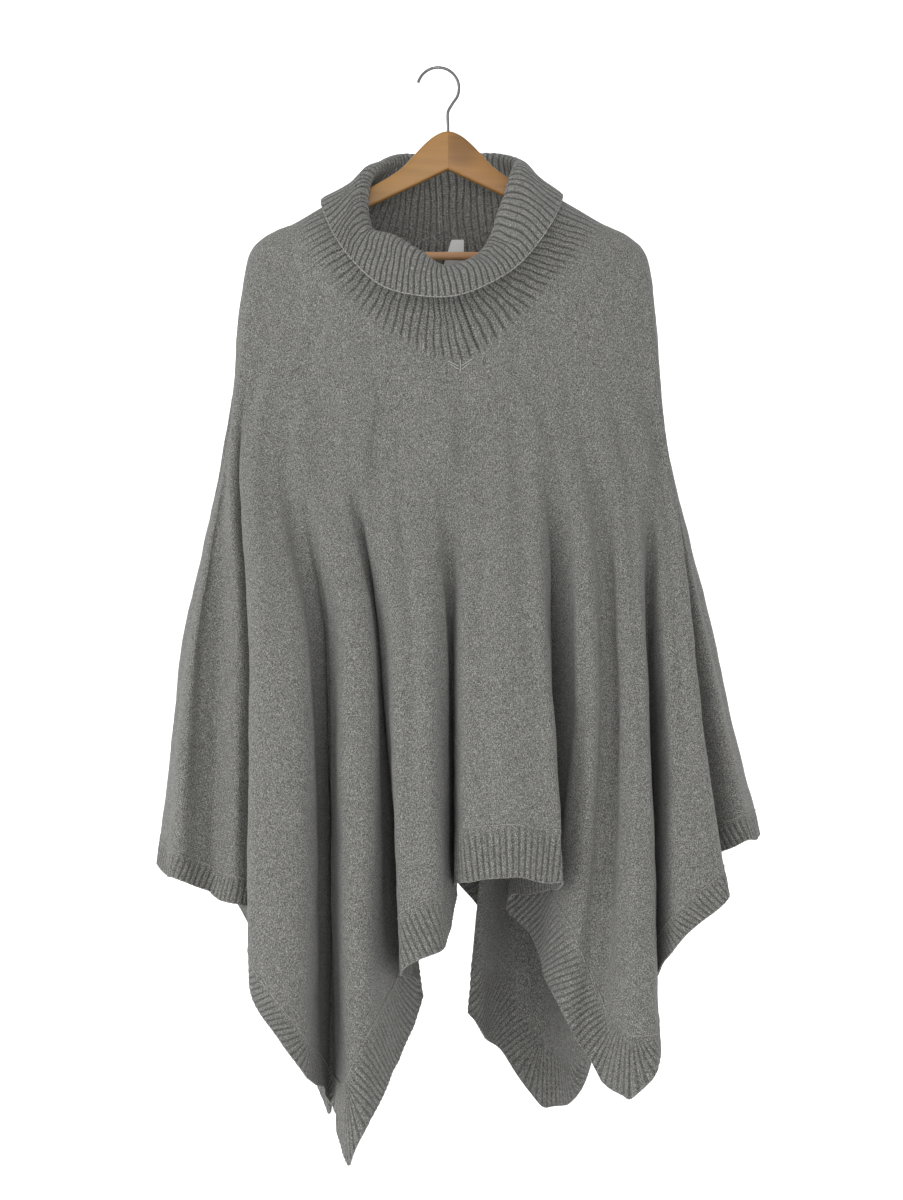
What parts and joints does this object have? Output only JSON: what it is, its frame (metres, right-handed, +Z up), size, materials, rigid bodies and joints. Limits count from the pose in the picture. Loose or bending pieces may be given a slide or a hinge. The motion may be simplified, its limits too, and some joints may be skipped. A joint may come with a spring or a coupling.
{
  "type": "knitted poncho sweater on a wooden hanger",
  "caption": "Grey marl knitted poncho sweater with a folded cowl collar, ribbed yoke and handkerchief hem, hanging on a wooden hanger with a wire hook.",
  "frame": {"origin": "inner crown of the wire hook, where a rail or a wall hook holds the hanger", "axes": "+Z up; the front of the garment faces -Y; +X to the right of someone who looks at its front"},
  "size_m": [0.672, 0.2986, 1.2115],
  "materials": {
    "knit": "fine marl stockinette, matt",
    "rib": "marl rib, matt",
    "wood": "satin varnish",
    "chrome": "polished",
    "label": "woven satin, blank"
  },
  "bodies": {
    "root": {"front_panel": "knit", "back_panel": "knit", "front_hem_band": "rib", "back_hem_band": "rib", "left_side_band": "rib", "right_side_band": "rib", "neck_yoke": "rib", "cowl_collar": "rib", "neck_label": "label", "hanger_arm_left": "wood", "hanger_arm_right": "wood", "hanger_bar": "wood", "hanger_hook": "chrome"}
  },
  "joints": []
}
